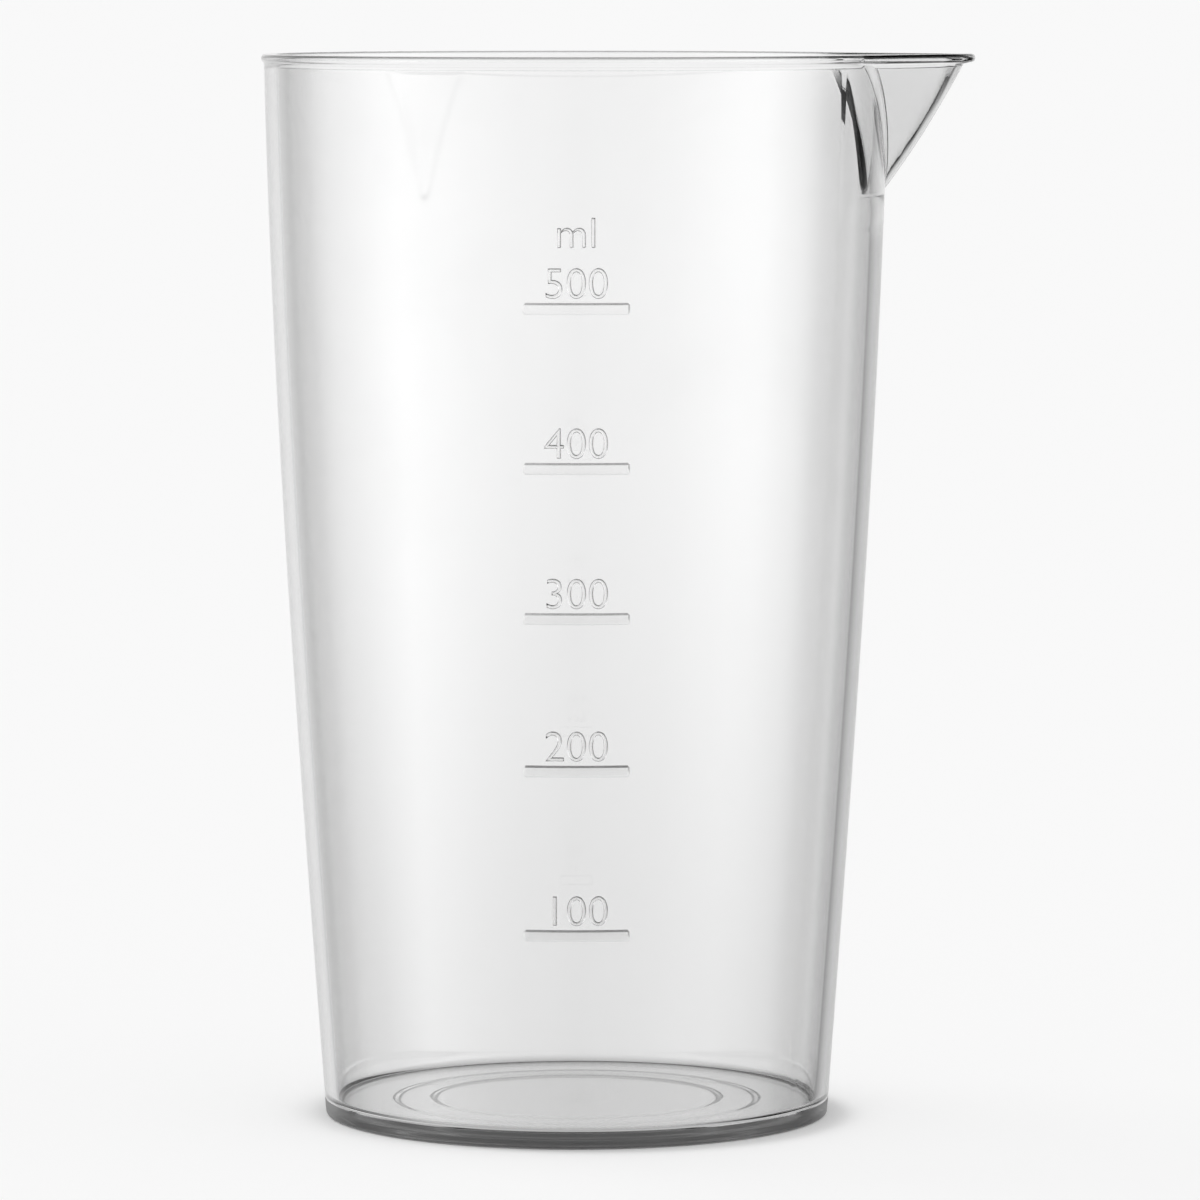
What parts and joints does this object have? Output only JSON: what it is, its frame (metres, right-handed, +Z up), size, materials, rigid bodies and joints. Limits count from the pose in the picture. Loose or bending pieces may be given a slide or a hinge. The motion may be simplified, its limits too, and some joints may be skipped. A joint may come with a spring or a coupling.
{
  "type": "measuring beaker",
  "caption": "Clear tapered measuring beaker of an immersion blender set, with a pouring spout, a beaded rim and raised graduation bars.",
  "frame": {"origin": "on the beaker's axis, in the plane that the foot ring stands on", "axes": "+Z up along the beaker's axis, +X towards the tip of the spout, the graduations face close to -Y"},
  "size_m": [0.1001, 0.088, 0.149],
  "materials": {
    "clear_plastic": "transparent, polished by the mould, faint grey tint",
    "raised_marks": "transparent, the same moulding as the wall"
  },
  "bodies": {
    "root": {"beaker": "clear_plastic", "scale_bar_100": "raised_marks", "scale_bar_200": "raised_marks", "scale_bar_300": "raised_marks", "scale_bar_400": "raised_marks", "scale_bar_500": "raised_marks"}
  },
  "joints": []
}
